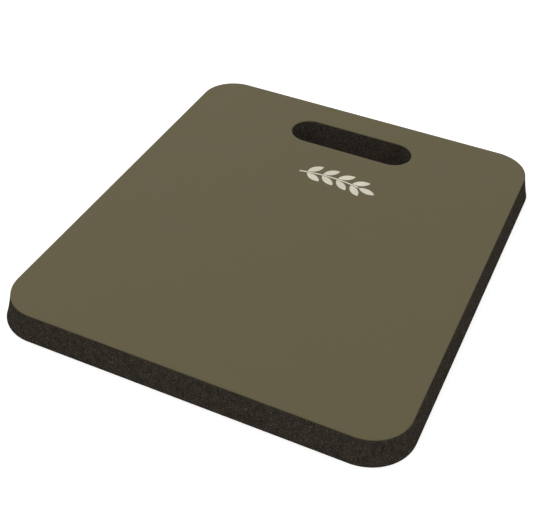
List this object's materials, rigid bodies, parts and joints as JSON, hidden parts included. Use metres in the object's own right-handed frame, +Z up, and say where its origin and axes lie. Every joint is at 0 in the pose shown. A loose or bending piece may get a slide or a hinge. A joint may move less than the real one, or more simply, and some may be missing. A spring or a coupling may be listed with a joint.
{
  "type": "kneeling pad",
  "caption": "Flat foam kneeling pad with rounded corners, cut sides that slope out towards the ground, a thin matte skin bonded on top and a round-ended hand slot near one edge.",
  "frame": {"origin": "centre of the pad's underside", "axes": "+X across the width, +Y along the length towards the hand slot, +Z up through the thickness"},
  "size_m": [0.34, 0.4, 0.0231],
  "materials": {
    "foam": "die-cut closed-cell foam, matte, fine open pits on the cut walls",
    "film": "bond film, seen only as a thin dark line at the cut edge",
    "skin": "smooth matte olive sheet with a very fine grain",
    "print": "flat off-white transfer print"
  },
  "bodies": {
    "root": {"foam_core": "foam", "adhesive_film": "film", "top_skin": "skin", "printed_mark": "print"}
  },
  "joints": []
}
